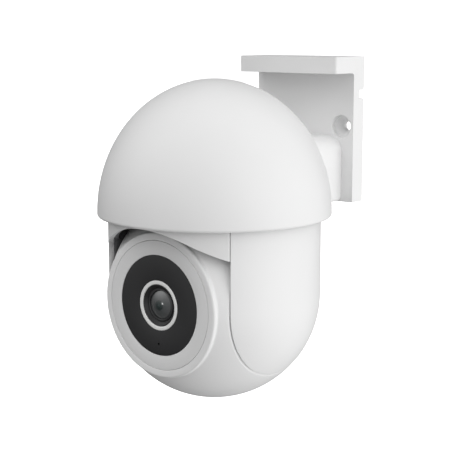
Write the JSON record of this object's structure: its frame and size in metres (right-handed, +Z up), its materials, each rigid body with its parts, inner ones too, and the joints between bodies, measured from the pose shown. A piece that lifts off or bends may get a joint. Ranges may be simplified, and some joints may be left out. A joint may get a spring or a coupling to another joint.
{
  "type": "ptz camera",
  "caption": "Outdoor pan-tilt camera: dome on a wall bracket, turning yoke and tilting ball with a lens, dark window and light ring.",
  "frame": {"origin": "on the wall, midway between the two wall screw holes of the bracket", "axes": "+Y into the wall, -Y the way the camera faces at rest, +Z up, +X towards the right arm; the tilt axis lies along X and the pan axis along Z"},
  "size_m": [0.104, 0.1273, 0.151],
  "materials": {
    "white_shell": "fine matte white polycarbonate",
    "grey_frame": "satin grey plastic",
    "gear_acetal": "natural acetal",
    "steel_screw": "zinc-plated",
    "motor_steel": "drawn can",
    "circuit_board": "green solder mask",
    "seal_rubber": "soft matte",
    "dark_window": "dark tinted, satin",
    "light_guide": "milky",
    "black_plastic": "matte black",
    "lens_glass": "coated",
    "lamp_lens": "clear resin",
    "chip": "moulded",
    "heat_sink_metal": "anodised"
  },
  "bodies": {
    "mount": {"wall_bracket": "white_shell", "bracket_screws": "steel_screw", "neck_housing": "white_shell", "cable_grommet": "seal_rubber", "dome_cover": "white_shell", "dome_seal": "seal_rubber", "dome_base_plate": "grey_frame", "dome_screws": "steel_screw", "pan_bush": "gear_acetal", "pan_motor": "motor_steel", "main_board": "circuit_board", "heat_sink": "heat_sink_metal", "wifi_antenna": "circuit_board", "speaker": "black_plastic"},
    "yoke": {"yoke_frame": "grey_frame", "pan_spindle": "grey_frame", "pan_gear": "gear_acetal", "pan_retainer": "steel_screw", "front_skirt": "white_shell", "rear_skirt": "white_shell", "arm_cover_left": "white_shell", "arm_cover_right": "white_shell", "arm_cover_screws": "steel_screw", "trunnion_left": "grey_frame", "trunnion_right": "grey_frame", "trunnion_screws": "steel_screw", "tilt_gear": "gear_acetal"},
    "ball": {"ball_front_shell": "white_shell", "ball_rear_shell": "white_shell", "ball_screws": "steel_screw", "ball_seal": "seal_rubber", "card_board": "circuit_board", "card_door": "white_shell", "card_door_screws": "steel_screw", "card_door_seal": "seal_rubber", "card_socket": "black_plastic", "face_ring": "white_shell", "filter_coil": "black_plastic", "front_window": "dark_window", "image_sensor": "chip", "infrared_lamps": "lamp_lens", "lamp_board": "circuit_board", "lamp_board_screws": "steel_screw", "lens_barrel": "black_plastic", "lens_front_element": "lens_glass", "lens_holder": "grey_frame", "lens_hood": "black_plastic", "lens_rear_element": "lens_glass", "light_ring": "light_guide", "microphone": "chip", "reset_switch": "black_plastic", "sensor_board": "circuit_board", "tilt_bushes": "gear_acetal", "tilt_motor": "motor_steel", "white_lamps": "lamp_lens"},
    "pan_pinion": {"pan_pinion": "gear_acetal"},
    "tilt_pinion": {"tilt_pinion": "gear_acetal"},
    "filter": {"filter_carriage": "gear_acetal", "filter_glasses": "lens_glass"},
    "reset": {"reset_button": "seal_rubber"}
  },
  "joints": [
    {"name": "pan", "type": "hinge", "parent": "mount", "child": "yoke", "pos_m": [0, -0.0753, -0.036], "axis": [0, 0, 1], "range_deg": [-175, 175]},
    {"name": "tilt", "type": "hinge", "parent": "yoke", "child": "ball", "pos_m": [0, -0.0753, -0.0711], "axis": [1, 0, 0], "range_deg": [-15, 90]},
    {"name": "pan_pinion_spin", "type": "hinge", "parent": "mount", "child": "pan_pinion", "pos_m": [0, -0.0993, -0.01], "axis": [0, 0, 1], "range_deg": [-701, 701]},
    {"name": "tilt_pinion_spin", "type": "hinge", "parent": "ball", "child": "tilt_pinion", "pos_m": [0.0265, -0.0561, -0.0711], "axis": [1, 0, 0], "range_deg": [-46, 271]},
    {"name": "filter_slide", "type": "slide", "parent": "ball", "child": "filter", "axis": [1, 0, 0], "range_m": [0, 0.008]},
    {"name": "reset_press", "type": "slide", "parent": "ball", "child": "reset", "axis": [0, -0.8192, 0.5736], "range_m": [0, 0.0004], "stiffness_N_per_m": 1500, "springref_m": -0.0002}
  ],
  "couplings": [
    {"joint": "pan_pinion_spin", "follows": "pan", "ratio": -4},
    {"joint": "tilt_pinion_spin", "follows": "tilt", "ratio": 3}
  ]
}
